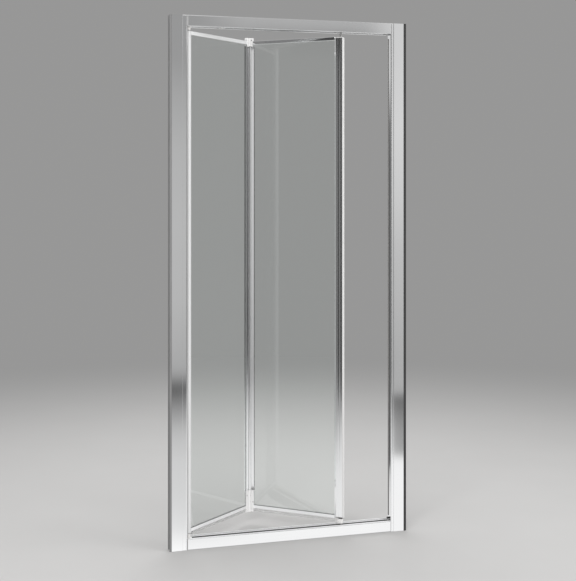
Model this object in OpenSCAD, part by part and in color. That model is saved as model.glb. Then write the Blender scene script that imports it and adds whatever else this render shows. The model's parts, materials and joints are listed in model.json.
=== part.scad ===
// Bifold shower door for a recess between two walls, shown folded about half way.
// Millimetres. X runs along the doorway to the right, as seen from outside the shower.
// Y runs into the shower, with Y = 0 on the line of the track. Z is up, with Z = 0 under the sill.

/* [Doorway frame] */
// Width between the walls
door_w = 898; // [898]
// Height of the frame
door_h = 1900; // [1800:10:2000]
// Width of the rubber strip against the left wall
wall_seal_left_w = 7; // [5:1:8]
// Width of the rubber strip against the right wall
wall_seal_right_w = 10; // [8:1:12]
// Width of a wall profile, seen from the front
profile_w = 40; // [40]
// Depth of a wall profile
profile_d = 36; // [36]
// Thickness of the wall profile's walls
profile_wall = 1.6; // [1.2:0.1:2]
// Width of left jamb that shows beside its wall profile
jamb_left_show = 17; // [15:1:19]
// Width of right jamb that shows beside its wall profile
jamb_right_show = 11; // [11]
// Full width of a jamb, with what slides into the wall profile
jamb_w = 43; // [38:1:46]
// Height of the holes' pattern step in a wall profile
wall_hole_step = 530; // [500:5:560]
// Diameter of the holes for the wall screws
wall_hole_d = 5.5; // [4.5:0.5:6]

/* [Head and sill] */
// Height of the head rail and of the sill rail
rail_h = 40; // [40]
// Depth of both rails
rail_d = 50; // [50]
// Width of the shallow recess that runs along both rails
recess_w = 32; // [30:1:34]
// Depth of that recess
recess_d = 3; // [2.5:0.5:4]
// Width of the roller slot in the middle of the recess
slot_w = 16.4; // [16.4:0.1:17]
// Depth of the roller slot from the rail's open side
slot_d = 27; // [27:0.5:28]
// Wall thickness of the rails
rail_wall = 1.6; // [1.2:0.1:2]

/* [Leaves] */
// Angle of each leaf to the doorway as the door stands here
rest_angle = 40.45; // [20:0.05:60]
// Distance from the pivot to the fold axis, along a leaf
fold_u = 371.6; // [371.6]
// Thickness of the leaf stiles
leaf_t = 13; // [13]
// Thickness of fold stile 2 at its glass edge
fold_lip_t = 9; // [8.6:0.2:10]
// Height of the leaf rails' outer edges above the sill's underside, and below the frame's top
leaf_gap = 58; // [56:0.5:60]
// Gap above the top rails
leaf_gap_top = 54; // [52:0.5:56]
// Height of a leaf rail
leaf_rail_h = 13; // [12:0.5:14]
// Thickness of a leaf rail
leaf_rail_t = 10; // [9:0.5:11]
// Thickness of the safety glass
glass_t = 5; // [4:0.5:5]
// Radius of the pivot stile's round nose
pivot_nose_r = 4.6; // [4.4:0.1:4.8]
// Width of the pivot stile from the pivot axis
pivot_stile_w = 8.5; // [8:0.5:10]
// Distance from the fold axis to the far edge of fold stile 1
fold_stile_1_w = 21.5; // [20:0.5:24]
// Distance from the fold axis to the far edge of fold stile 2
fold_stile_2_w = 17; // [17:0.5:20]
// Width of the top hinge cap on leaf 1, from the fold axis
cap_top_1_w = 15; // [14.5:0.5:17]
// Width of the top hinge cap on leaf 2, from the fold axis
cap_top_2_w = 12; // [12:0.5:14]
// Width of the leading stile, with its magnet strip
leading_stile_w = 36.5; // [36.5]
// Distance from the guide axis to the leading end of leaf 2
leading_end = 13.5; // [13.5]
// Depth of the pocket that holds the glass in a stile
pocket_d = 8; // [7.5:0.5:8]
// Half the width of that pocket
pocket_half = 3.5; // [3.4:0.1:3.6]

/* [Hinge and guides] */
// Radius of the hinge barrel
barrel_r = 5; // [4.6:0.1:5]
// Radius that the fold stiles leave free around the fold axis
fold_relief_r = 6.4; // [6.2:0.1:6.6]
// Radius of the hinge pins and guide pins
pin_r = 2.5; // [2.5]
// Radius of the pivot pins
pivot_pin_r = 2.5; // [2.5]
// Radial clearance of a running fit
run_gap = 0.05; // [0.02:0.01:0.1]
// Radius of a guide roller
roller_r = 8; // [7.5:0.1:8]
// Height of a guide roller
roller_h = 12; // [10:1:12]
// Top of the bottom hinge caps
cap_bottom_top = 126; // [120:1:130]
// Height that a top hinge cap covers below the frame's top
cap_top_bottom = 74; // [70:1:78]
// Largest angle of each leaf to the doorway
open_angle = 80; // [80]

/* [Hidden] */
$fn = 48;
eps = 0.01;
half_w = door_w / 2;
half_d = rail_d / 2;
front_y = -half_d;
profile_back_y = front_y + profile_d;
profile_left_x = -half_w + wall_seal_left_w;
profile_right_x = half_w - wall_seal_right_w;
jamb_left_x = profile_left_x + profile_w + jamb_left_show;
jamb_right_x = profile_right_x - profile_w - jamb_right_show;
jamb_front_y = front_y + profile_wall + 0.4;
jamb_back_y = profile_back_y - profile_wall - 0.4;
jamb_mid_y = (jamb_front_y + jamb_back_y) / 2;
jamb_wall = 1.5;
plug_t = 2;
cap_plate_t = 3;
rail_left_x = jamb_left_x + plug_t;
rail_right_x = jamb_right_x - plug_t;
seal_strip_d = 6;

// Screws at the rails' ends: places across the rail and above its closed side
screw_port_y = [-16.5, 0];
screw_port_z = [14, 6.5];
port_r = 3.4;
port_bore_r = 2;
corner_screw_r = 1.95;
slot_floor = rail_h - slot_d;

// Screws that lock a jamb in its wall profile
adjust_z = [150, 950, 1750];
adjust_left_x = profile_left_x + 26;
adjust_right_x = profile_right_x - 26;
adjust_r = 1.9;

// Linkage: pivot, fold axis and guide axis
half_t = leaf_t / 2;
pivot_x = jamb_left_x + 9;
link_l = sqrt(fold_u * fold_u + half_t * half_t);
link_lean = atan(half_t / fold_u);
link_angle = rest_angle - link_lean;
fold_x = pivot_x + link_l * cos(link_angle);
fold_y = link_l * sin(link_angle);
open_guide_x = pivot_x + 2 * link_l * cos(open_angle - link_lean);

// Heights
leaf_bottom = leaf_gap;
leaf_top = door_h - leaf_gap_top;
glass_z0 = leaf_bottom + 7;
glass_z1 = leaf_top - 7;
stile_z0 = cap_bottom_top;
stile_z1 = door_h - cap_top_bottom;
hinge_cap_z0 = 44;
hinge_cap_z1 = door_h - 42;
pivot_stile_z0 = 54;
pivot_stile_z1 = door_h - 54;
lead_z0 = 64;
lead_z1 = door_h - 58;
boss_top = 50.5;
wiper_z0 = 41.6;
block_z0 = 41;

// Leaf sections
stile_wall = 1.3;
strip_t = 5;
lead_u0 = fold_u + leading_end - leading_stile_w;
lead_u1 = fold_u + leading_end - strip_t;
lead_web = 1.6;
glass_seat = 7;
glass_1_u0 = pivot_nose_r;
glass_1_u1 = fold_u - fold_stile_1_w + glass_seat;
glass_2_u0 = fold_stile_2_w - glass_seat;
glass_2_u1 = lead_u0 + glass_seat;
slot_half = glass_t / 2 + 0.1;
eye_gap = 0.4;
cap_foot_z = 57;
foot_inset = 4;

// Cap screws, each with its distance from the fold axis and its height, and the grub screws
cap_screw_r = 2.3;
cap_screw_l = 3;
screw_bottom_1 = [17, 108];
screw_bottom_2 = [14.2, 82];
screw_top_1 = [cap_top_1_w, door_h - 50];
screw_top_2 = [8.8, door_h - 50];
grub_z = [82, 105];
grub_r = 1.6;

// Rollers and their pins, measured from a rail's closed side
roller_z0 = 17.5;
clip_r = 4.6;
clip_t = 1.7;
collar_r = 4.2;

// ---- Helpers ----

// Rectangle between two corners, with rounded corners where r is over 0
module panel(x0, x1, y0, y1, r = 0) {
    if (r > 0) {
        union() {
            translate([x0 + r, y0]) square([x1 - x0 - 2 * r, y1 - y0]);
            translate([x0, y0 + r]) square([x1 - x0, y1 - y0 - 2 * r]);
            for (x = [x0 + r, x1 - r], y = [y0 + r, y1 - r]) translate([x, y]) circle(r);
        }
    } else {
        translate([x0, y0]) square([x1 - x0, y1 - y0]);
    }
}

// Flat shape in X and Y, raised from z0 to z1
module upright(z0, z1) {
    translate([0, 0, z0]) linear_extrude(z1 - z0) children();
}

// Flat shape in Y and Z, run along X from x0 to x1
module along_x(x0, x1) {
    translate([x0, 0, 0]) rotate([90, 0, 90]) linear_extrude(x1 - x0) children();
}

// The same piece at the head instead of the sill
module at_head() {
    translate([0, 0, door_h]) mirror([0, 0, 1]) children();
}

// A piece drawn for the left side, placed at the right side
module at_right() {
    mirror([1, 0, 0]) children();
}

// Leaf 1's own space: X from the pivot to the fold axis, Y = 0 in the glass
module in_leaf_1() {
    translate([pivot_x, 0, 0]) rotate([0, 0, rest_angle]) children();
}

// Leaf 2's own space: X from the fold axis to the leading end, Y = 0 in the glass
module in_leaf_2() {
    translate([fold_x, fold_y, 0]) rotate([0, 0, -rest_angle]) translate([0, half_t, 0]) children();
}

// Fold stile space: X away from the fold axis, for leaf 1
module from_fold_1() {
    in_leaf_1() translate([fold_u, 0, 0]) mirror([1, 0, 0]) children();
}

// Screw along -X with a pan head, its head's flat side at X = 0
module screw_x(shank_r, shank_l, head_r, head_h) {
    rotate([0, -90, 0]) {
        cylinder(h = head_h, r = head_r);
        translate([0, 0, -shank_l]) cylinder(h = shank_l, r = shank_r);
    }
}

// ---- Frame at the walls ----

module wall_seal_strips(x0, x1) {
    upright(0, door_h) {
        panel(x0, x1, front_y, front_y + seal_strip_d, 0.8);
        panel(x0, x1, profile_back_y - seal_strip_d, profile_back_y, 0.8);
    }
}

module wall_seal_left() {
    color("dimgray") wall_seal_strips(-half_w, profile_left_x);
}

module wall_seal_right() {
    color("dimgray") wall_seal_strips(profile_right_x, half_w);
}

// U-channel with its base against the wall at X = 0 and its open side towards +X
module wall_channel() {
    bead_r = 0.95;
    difference() {
        upright(0, door_h) {
            panel(0, profile_wall, front_y, profile_back_y);
            panel(0, profile_w - bead_r, front_y, front_y + profile_wall);
            panel(0, profile_w - bead_r, profile_back_y - profile_wall, profile_back_y);
            translate([profile_w - bead_r, front_y + bead_r]) circle(bead_r);
            translate([profile_w - bead_r, profile_back_y - bead_r]) circle(bead_r);
        }
        for (step = [-1.5:1:1.5])
            translate([-1, jamb_mid_y, door_h / 2 + step * wall_hole_step])
                rotate([0, 90, 0]) cylinder(h = profile_wall + 2, d = wall_hole_d);
        for (z = adjust_z)
            translate([26, profile_back_y - 3, z])
                rotate([-90, 0, 0]) cylinder(h = 6, r = adjust_r + 0.5);
    }
}

module wall_profile_left() {
    color("silver") translate([profile_left_x, 0, 0]) wall_channel();
}

module wall_profile_right() {
    color("silver") translate([profile_right_x, 0, 0]) at_right() wall_channel();
}

// Hollow post whose inner face stands at X = 0, the doorway being towards +X
module jamb_post(adjust_x) {
    groove_x = -4;
    top = door_h - cap_plate_t;
    difference() {
        upright(0, top) difference() {
            panel(-jamb_w, 0, jamb_front_y, jamb_back_y, 2.4);
            panel(-jamb_w + jamb_wall, -jamb_wall, jamb_front_y + jamb_wall, jamb_back_y - jamb_wall, 0.9);
            translate([groove_x, jamb_front_y]) circle(0.7);
        }
        for (i = [0, 1], z = [screw_port_z[i], door_h - screw_port_z[i]]) {
            translate([-5, screw_port_y[i], z]) rotate([0, 90, 0]) cylinder(h = 10, r = port_bore_r + 0.1);
            translate([-jamb_w - 1, screw_port_y[i], z]) rotate([0, 90, 0]) cylinder(h = 6, r = 4.2);
        }
        for (z = adjust_z)
            translate([adjust_x, jamb_back_y - 4, z]) rotate([-90, 0, 0]) cylinder(h = 8, r = adjust_r + 0.05);
    }
}

module jamb_left() {
    color("silver") translate([jamb_left_x, 0, 0]) jamb_post(adjust_left_x - jamb_left_x);
}

module jamb_right() {
    color("silver") translate([jamb_right_x, 0, 0]) at_right() jamb_post(jamb_right_x - adjust_right_x);
}

// Plate on top of a jamb that also closes the wall profile beside it
module profile_cap(reach) {
    upright(door_h - cap_plate_t, door_h) difference() {
        panel(-reach, 0, jamb_front_y, jamb_back_y, 2);
        translate([-4, jamb_front_y]) circle(0.7);
    }
    upright(door_h - 14, door_h - cap_plate_t + eps) difference() {
        panel(-jamb_w + 2, -14, jamb_front_y + 2, jamb_back_y - 2);
        panel(-jamb_w + 4, -16, jamb_front_y + 4, jamb_back_y - 4);
    }
}

module profile_cap_left() {
    reach = jamb_left_x - profile_left_x - profile_wall - 0.2;
    color("lightgray") translate([jamb_left_x, 0, 0]) profile_cap(reach);
}

module profile_cap_right() {
    reach = profile_right_x - jamb_right_x - profile_wall - 0.2;
    color("lightgray") translate([jamb_right_x, 0, 0]) at_right() profile_cap(reach);
}

// ---- Head and sill ----

// Outline of the rail, open side up, without its hollow chambers
module rail_outline() {
    difference() {
        panel(-half_d, half_d, 0, rail_h, 2.5);
        panel(-recess_w / 2, recess_w / 2, rail_h - recess_d, rail_h + 1);
        panel(-slot_w / 2, slot_w / 2, slot_floor, rail_h + 1);
    }
}

// Hollow chamber of the rail, on its +X side
module rail_chamber() {
    inner_x = slot_w / 2 + rail_wall;
    outer_x = half_d - rail_wall;
    step_x = recess_w / 2 + rail_wall;
    panel(inner_x, outer_x, rail_wall, rail_h - recess_d - rail_wall);
    panel(step_x, outer_x, rail_wall, rail_h - rail_wall);
}

module rail_section() {
    port_web = 1.6;
    difference() {
        rail_outline();
        rail_chamber();
        difference() {
            mirror([1, 0]) rail_chamber();
            translate([screw_port_y[0], screw_port_z[0]]) circle(port_r);
            panel(screw_port_y[0] - port_web / 2, screw_port_y[0] + port_web / 2, 0, screw_port_z[0]);
        }
        for (i = [0, 1]) translate([screw_port_y[i], screw_port_z[i]]) circle(port_bore_r);
    }
}

module sill_rail() {
    color("silver") along_x(rail_left_x, rail_right_x) rail_section();
}

module head_rail() {
    color("silver") at_head() along_x(rail_left_x, rail_right_x) rail_section();
}

// Plate at the left end of a rail, with two tongues that grip inside it
module rail_end_plug() {
    tongue_l = 9;
    along_x(jamb_left_x, rail_left_x) difference() {
        rail_outline();
        for (i = [0, 1]) translate([screw_port_y[i], screw_port_z[i]]) circle(port_bore_r + 0.1);
    }
    for (y = [-12.4, 10.1])
        along_x(rail_left_x - eps, rail_left_x + tongue_l) panel(y, y + 2.3, 2, 30);
}

module rail_end_plugs() {
    color("gray") {
        rail_end_plug();
        at_head() rail_end_plug();
        translate([jamb_left_x + jamb_right_x, 0, 0]) at_right() rail_end_plug();
        translate([jamb_left_x + jamb_right_x, 0, 0]) at_right() at_head() rail_end_plug();
    }
}

module corner_screw_pair() {
    for (i = [0, 1])
        translate([jamb_left_x - jamb_wall, screw_port_y[i], screw_port_z[i]])
            screw_x(corner_screw_r, 24, 3.4, 2.2);
}

module corner_screws() {
    color("gainsboro") {
        corner_screw_pair();
        at_head() corner_screw_pair();
        translate([jamb_left_x + jamb_right_x, 0, 0]) at_right() corner_screw_pair();
        translate([jamb_left_x + jamb_right_x, 0, 0]) at_right() at_head() corner_screw_pair();
    }
}

module adjusting_screws() {
    color("gainsboro")
        for (x = [adjust_left_x, adjust_right_x], z = adjust_z)
            translate([x, profile_back_y, z]) rotate([90, 0, 0]) {
                cylinder(h = 11, r = adjust_r);
                translate([0, 0, -1.8]) cylinder(h = 1.8, r = 3.4);
            }
}

module adjusting_screw_caps() {
    cap_r = 5.5;
    cap_h = 4;
    color("lightgray")
        for (x = [adjust_left_x, adjust_right_x], z = adjust_z)
            translate([x, profile_back_y, z]) rotate([-90, 0, 0]) difference() {
                union() {
                    cylinder(h = cap_h - 1.5, r = cap_r);
                    translate([0, 0, cap_h - 1.5]) cylinder(h = 1.5, r1 = cap_r, r2 = cap_r - 1.5);
                }
                translate([0, 0, -1]) cylinder(h = 3.4, r = 3.8);
            }
}

// Block that fills recess and slot, from x0 to x1
module channel_block(x0, x1) {
    fit = 0.2;
    along_x(x0, x1) {
        panel(-recess_w / 2 + fit, recess_w / 2 - fit, rail_h - recess_d + fit, rail_h - 0.4);
        panel(-slot_w / 2 + fit, slot_w / 2 - fit, slot_floor + 1, rail_h - 1);
    }
}

module pivot_block() {
    difference() {
        union() {
            channel_block(rail_left_x + 0.2, rail_left_x + 17);
            translate([pivot_x, 0, rail_h - 1]) cylinder(h = boss_top - rail_h - 0.5, r = 6.8);
            translate([pivot_x, 0, boss_top - 1.5]) cylinder(h = 1.5, r1 = 6.8, r2 = 5.6);
        }
        translate([pivot_x, 0, 0]) cylinder(h = 80, r = pivot_pin_r + run_gap);
    }
}

module pivot_block_bottom() {
    color("white") pivot_block();
}

module pivot_block_top() {
    color("white") at_head() pivot_block();
}

module track_stop() {
    stop_x = open_guide_x - roller_r - 0.6;
    color("white") at_head() channel_block(stop_x - 18, stop_x);
}

// Lip on the left jamb that follows the round nose of the pivot stile
module pivot_jamb_seal() {
    color("dimgray") upright(pivot_stile_z0, pivot_stile_z1) difference() {
        panel(jamb_left_x, pivot_x - 3.6, -6, 0.3);
        translate([pivot_x, 0]) circle(pivot_nose_r + 0.4);
    }
}

module jamb_magnet_strip() {
    color("dimgray") upright(56, door_h - 56)
        panel(jamb_right_x - 1.2, jamb_right_x, -4, 4, 0.5);
}

// Rubber stop above the sill, which the guide block meets when the door closes
module closing_bumper() {
    color("darkslategray") translate([jamb_right_x, -2, 46.5]) rotate([0, -90, 0]) {
        cylinder(h = 6.5, r = 4);
        translate([0, 0, 6.5]) cylinder(h = 1.5, r1 = 4, r2 = 2.6);
    }
}

// ---- Leaf parts that both leaves share ----

module leaf_rail(u0, u1) {
    groove = 2.4;
    along_x(u0, u1) difference() {
        panel(-leaf_rail_t / 2, leaf_rail_t / 2, leaf_bottom, leaf_bottom + leaf_rail_h, 1.4);
        panel(-slot_half, slot_half, leaf_bottom + 4, leaf_bottom + leaf_rail_h + 1);
        panel(-1.1, 1.1, leaf_bottom - 1, leaf_bottom + groove);
    }
}

module top_leaf_rail(u0, u1) {
    translate([0, 0, leaf_bottom + leaf_top]) mirror([0, 0, 1]) leaf_rail(u0, u1);
}

module glass_panel(u0, u1) {
    upright(glass_z0, glass_z1) panel(u0, u1, -glass_t / 2, glass_t / 2);
}

module wiper(u0, u1) {
    bulb_r = 1.8;
    along_x(u0, u1) {
        panel(-0.9, 0.9, wiper_z0 + bulb_r, leaf_bottom + 2.2);
        translate([0, wiper_z0 + bulb_r]) circle(bulb_r);
        for (z = [48, 53]) panel(-2.6, 2.6, z, z + 0.9);
    }
}

module packers(u0, u1) {
    for (u = [u0 + 60, u1 - 60])
        translate([u - 20, -glass_t / 2, leaf_bottom + 4.1]) cube([40, glass_t, 2.8]);
}

// U-shaped gasket around a glass edge, its mouth towards +X and just proud of x0
module edge_gasket(x0, z0, z1) {
    upright(z0, z1) difference() {
        panel(x0 - pocket_d + 0.6, x0 + 0.6, -pocket_half + 0.05, pocket_half - 0.05);
        panel(x0 - glass_seat, x0 + 1, -slot_half + 0.05, slot_half - 0.05);
    }
}

// Stile's solid from x0 to x1, smaller by inset. It is leaf_t thick at the fold and lip_t at edge_x.
module fold_wedge(edge_x, lip_t, x0, x1, inset) {
    flat_x = 3;
    thinning = (leaf_t - lip_t) / 2;
    function half_at(x) = half_t - inset - thinning * max(0, x - flat_x) / (edge_x - flat_x);
    polygon([[x0, -half_at(x0)], [flat_x, -half_at(flat_x)], [x1, -half_at(x1)],
             [x1, half_at(x1)], [flat_x, half_at(flat_x)], [x0, half_at(x0)]]);
}

// Outline of a fold stile, with X away from the fold axis and its far edge at edge_x
module fold_outline(edge_x, lip_t) {
    difference() {
        fold_wedge(edge_x, lip_t, 1, edge_x, 0);
        translate([0, -half_t]) circle(fold_relief_r);
    }
}

// Chamber between fold and glass pocket, smaller by gap all round
module fold_chamber(edge_x, lip_t, gap) {
    wall = stile_wall + gap;
    difference() {
        fold_wedge(edge_x, lip_t, 1 + wall, edge_x - pocket_d - wall, wall);
        translate([0, -half_t]) circle(fold_relief_r + wall);
    }
}

module fold_section(edge_x, lip_t) {
    difference() {
        fold_outline(edge_x, lip_t);
        fold_chamber(edge_x, lip_t, 0);
        panel(edge_x - pocket_d, edge_x + 1, -pocket_half, pocket_half);
    }
}

// Round barrel on the fold axis, with the neck that joins it to the stile behind it
module barrel_outline(neck_x) {
    translate([0, -half_t]) circle(barrel_r);
    panel(0, neck_x, -half_t + 2.2, -half_t + 4.8);
}

// Turns a piece drawn along Z so that it stands out of a stile's front, or out of its glass edge
module out_of_front(x, z) {
    translate([x, -half_t, z]) rotate([90, 0, 0]) children();
}

module out_of_edge(x, z) {
    translate([x, 0, z]) rotate([0, 90, 0]) children();
}

module cap_screw() {
    translate([0, 0, -cap_screw_l]) cylinder(h = cap_screw_l + eps, r = 1.4);
    difference() {
        cylinder(h = 1, r = cap_screw_r);
        translate([0, 0, 0.4]) cylinder(h = 1, r = 1.3, $fn = 6);
    }
}

module cap_screw_hole() {
    translate([0, 0, -cap_screw_l - 0.5]) cylinder(h = cap_screw_l + 1.5, r = 1.45);
}

// Flat outline of a hinge cap, its far edge at edge_x
module cap_outline(edge_x, half) {
    difference() {
        union() {
            panel(1, edge_x, -half, half, 1.5);
            panel(1, edge_x - 4, -half, half, 0.4);
        }
        translate([0, -half_t]) circle(fold_relief_r);
    }
}

// Moulded cap at the end of a fold stile, with a tongue that goes into the stile's chamber
module hinge_cap(edge_x, stile_w, lip_t, z0, z1, tongue_z, slot_z) {
    difference() {
        union() {
            upright(z0, z1) cap_outline(edge_x, half_t);
            upright(min(z1, tongue_z), max(z0, tongue_z)) fold_chamber(stile_w, lip_t, 0.2);
        }
        upright(slot_z[0], slot_z[1]) panel(stile_w - glass_seat - 0.4, edge_x + 1, -slot_half, slot_half);
    }
}

// Narrower foot under a bottom hinge cap
module cap_foot(edge_x) {
    upright(hinge_cap_z0, cap_foot_z + eps) cap_outline(edge_x, half_t - 1.6);
}

// ---- Leaf 1 ----

module pivot_stile() {
    color("silver") in_leaf_1() difference() {
        upright(pivot_stile_z0, pivot_stile_z1) {
            circle(pivot_nose_r);
            panel(0, pivot_stile_w, -pivot_nose_r, pivot_nose_r);
        }
        upright(0, door_h) circle(pivot_pin_r + 0.02);
        upright(glass_z0 - 1, glass_z1 + 1) panel(glass_1_u0 - 0.2, pivot_stile_w + 1, -slot_half, slot_half);
    }
}

module fold_stile_1() {
    color("silver") from_fold_1() upright(stile_z0, stile_z1) fold_section(fold_stile_1_w, leaf_t);
}

module bottom_rail_1() {
    color("silver") in_leaf_1() leaf_rail(pivot_stile_w, fold_u - fold_stile_1_w);
}

module top_rail_1() {
    color("silver") in_leaf_1() top_leaf_rail(pivot_stile_w, fold_u - cap_top_1_w);
}

module glass_1() {
    color("powderblue", 0.35) in_leaf_1() glass_panel(glass_1_u0, glass_1_u1);
}

module glazing_gasket_1() {
    color("lightgray") from_fold_1() edge_gasket(fold_stile_1_w, stile_z0, stile_z1);
}

module glass_packers_1() {
    color("dimgray") in_leaf_1() packers(pivot_stile_w, fold_u - fold_stile_1_w);
}

module bottom_seal_1() {
    color("whitesmoke") in_leaf_1() wiper(pivot_stile_w + 6, fold_u - fold_stile_1_w - 1);
}

// Soft lip in leaf 1 that closes the gap round the hinge barrel
module fold_seal() {
    color("dimgray") from_fold_1() upright(stile_z0, stile_z1) intersection() {
        difference() {
            translate([0, -half_t]) circle(fold_relief_r);
            translate([0, -half_t]) circle(barrel_r + 0.4);
        }
        panel(1.5, fold_relief_r, -half_t + 1.5, half_t);
    }
}

module pivot_pin() {
    translate([pivot_x, 0, 0]) {
        translate([0, 0, slot_floor + 2]) cylinder(h = 90, r = pivot_pin_r);
        translate([0, 0, boss_top + 0.3]) cylinder(h = pivot_stile_z0 - boss_top - 0.3, r = 4.2);
    }
}

module pivot_pin_bottom() {
    color("gainsboro") pivot_pin();
}

module pivot_pin_top() {
    color("gainsboro") at_head() pivot_pin();
}

// Cap on leaf 1 with the hinge eye, bored for the hinge pin
module hinge_cap_1(edge_x, z0, z1, tongue_z, slot_z, eye_z0, eye_z1) {
    difference() {
        union() {
            hinge_cap(edge_x, fold_stile_1_w, leaf_t, z0, z1, tongue_z, slot_z);
            upright(eye_z0, eye_z1) barrel_outline(8);
        }
        translate([0, -half_t, 0]) cylinder(h = door_h, r = pin_r + 0.02);
    }
}

module hinge_cap_bottom_1() {
    color("whitesmoke") from_fold_1() difference() {
        union() {
            hinge_cap_1(fold_stile_1_w, cap_foot_z, stile_z0, stile_z0 + 20,
                [glass_z0 - 1, stile_z0 + 1], hinge_cap_z0, stile_z0 - eye_gap);
            cap_foot(fold_stile_1_w - foot_inset);
        }
        out_of_front(screw_bottom_1[0], screw_bottom_1[1]) cap_screw_hole();
        for (z = grub_z)
            translate([0, -half_t, z]) rotate([90, 0, 0]) cylinder(h = barrel_r + 1, r = grub_r + 0.02);
    }
}

module hinge_cap_top_1() {
    color("whitesmoke") from_fold_1() difference() {
        hinge_cap_1(cap_top_1_w, stile_z1, hinge_cap_z1, stile_z1 - 20,
            [stile_z1 - 1, glass_z1 + 1], stile_z1 + eye_gap, hinge_cap_z1);
        out_of_edge(screw_top_1[0], screw_top_1[1]) cap_screw_hole();
    }
}

// Two cap screws, and the two grub screws that hold the lower hinge pin in its eye
module hinge_cap_screws_1() {
    color("gainsboro") from_fold_1() {
        out_of_front(screw_bottom_1[0], screw_bottom_1[1]) cap_screw();
        out_of_edge(screw_top_1[0], screw_top_1[1]) cap_screw();
        for (z = grub_z)
            translate([0, -half_t - pin_r - 0.02, z]) rotate([90, 0, 0])
                cylinder(h = barrel_r - pin_r - 0.9, r = grub_r);
    }
}

module hinge_pin(z0, z1) {
    translate([fold_x, fold_y, z0]) cylinder(h = z1 - z0, r = pin_r);
}

module hinge_pin_bottom() {
    color("gainsboro") hinge_pin(hinge_cap_z0 + 2, stile_z0 + 75);
}

module hinge_pin_top() {
    color("gainsboro") hinge_pin(stile_z1 - 75, hinge_cap_z1 - 2);
}

// ---- Leaf 2 ----

module fold_stile_2() {
    color("silver") in_leaf_2() upright(stile_z0, stile_z1) difference() {
        union() {
            fold_section(fold_stile_2_w, fold_lip_t);
            barrel_outline(6);
        }
        translate([0, -half_t]) circle(pin_r + run_gap);
    }
}

// Leading stile: sloping lips round the glass pocket, guide chamber, and two flutes in front
module leading_section() {
    lip_w = 7;
    lip_half = fold_lip_t / 2;
    flute_d = 1.6;
    flute_slope = 0.114;
    chamber_u0 = lead_u0 + pocket_d + lead_web;
    difference() {
        union() {
            polygon([[lead_u0, -lip_half], [lead_u0 + lip_w, -half_t], [lead_u0 + lip_w + 2, -half_t],
                     [lead_u0 + lip_w + 2, half_t], [lead_u0 + lip_w, half_t], [lead_u0, lip_half]]);
            panel(lead_u0 + lip_w, lead_u1, -half_t, half_t, 0.8);
        }
        panel(lead_u0 - 1, lead_u0 + pocket_d, -pocket_half, pocket_half);
        panel(chamber_u0, lead_u1 - stile_wall, -half_t + flute_d + stile_wall, half_t - stile_wall);
        for (flute = [[13.4, 4.6], [23.8, 6]])
            translate([lead_u0 + flute[0], -half_t])
                polygon([[0, -1], [flute[1], -1], [flute[1], flute_d - flute[1] * flute_slope], [0, flute_d]]);
    }
}

module leading_stile() {
    color("silver") in_leaf_2() upright(lead_z0, lead_z1) leading_section();
}

module bottom_rail_2() {
    color("silver") in_leaf_2() leaf_rail(fold_stile_2_w, lead_u0);
}

module top_rail_2() {
    color("silver") in_leaf_2() top_leaf_rail(cap_top_2_w, lead_u0);
}

module glass_2() {
    color("powderblue", 0.35) in_leaf_2() glass_panel(glass_2_u0, glass_2_u1);
}

module glazing_gasket_2() {
    color("lightgray") in_leaf_2() {
        edge_gasket(fold_stile_2_w, stile_z0, stile_z1);
        translate([lead_u0, 0, 0]) mirror([1, 0, 0]) edge_gasket(0, lead_z0 + 8, lead_z1 - 10);
    }
}

module glass_packers_2() {
    color("dimgray") in_leaf_2() packers(fold_stile_2_w, lead_u0);
}

module bottom_seal_2() {
    color("whitesmoke") in_leaf_2() wiper(fold_stile_2_w + 1, lead_u0 - 1);
}

module leaf_magnet_strip() {
    color("white") in_leaf_2() upright(lead_z0, lead_z1) {
        panel(lead_u1, lead_u1 + 2, -half_t + 1, half_t - 1);
        panel(lead_u1, lead_u1 + strip_t, -half_t + 1, half_t - 1, 1.8);
    }
}

module hinge_cap_bottom_2() {
    color("whitesmoke") in_leaf_2() difference() {
        union() {
            hinge_cap(fold_stile_2_w, fold_stile_2_w, fold_lip_t, cap_foot_z, stile_z0, stile_z0 + 20,
                [glass_z0 - 1, stile_z0 + 1]);
            cap_foot(fold_stile_2_w - foot_inset);
        }
        out_of_front(screw_bottom_2[0], screw_bottom_2[1]) cap_screw_hole();
    }
}

module hinge_cap_top_2() {
    color("whitesmoke") in_leaf_2() difference() {
        hinge_cap(cap_top_2_w, fold_stile_2_w, fold_lip_t, stile_z1, hinge_cap_z1, stile_z1 - 20,
            [stile_z1 - 1, glass_z1 + 1]);
        out_of_front(screw_top_2[0], screw_top_2[1]) cap_screw_hole();
    }
}

module hinge_cap_screws_2() {
    color("gainsboro") in_leaf_2() {
        out_of_front(screw_bottom_2[0], screw_bottom_2[1]) cap_screw();
        out_of_front(screw_top_2[0], screw_top_2[1]) cap_screw();
    }
}

// ---- Guides at the leading end ----

// Plug in the leading stile's chamber, with a plate over the stile's end
module guide_plug(stile_end) {
    upright(stile_end - 2, stile_end) panel(lead_u0 + 6, lead_u1, -half_t, half_t, 0.8);
    upright(stile_end - eps, stile_end + 28)
        panel(lead_u0 + pocket_d + lead_web + 0.2, lead_u1 - stile_wall - 0.2, -3.4, half_t - stile_wall - 0.2);
}

module guide_block_bottom() {
    color("white") in_leaf_2() difference() {
        union() {
            guide_plug(lead_z0);
            upright(block_z0, lead_z0 - 6) panel(fold_u - 12, lead_u1, -half_t + 0.2, half_t - 0.2, 3);
            upright(lead_z0 - 6 - eps, lead_z0) panel(fold_u - 6, fold_u + 6, -4.6, 4.6, 2);
        }
        upright(0, door_h) translate([fold_u, 0]) circle(pin_r + 0.02);
    }
}

module guide_block_top() {
    color("whitesmoke") in_leaf_2() difference() {
        at_head() guide_plug(door_h - lead_z1);
        upright(0, door_h) translate([fold_u, 0]) circle(pin_r + 0.02);
    }
}

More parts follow.
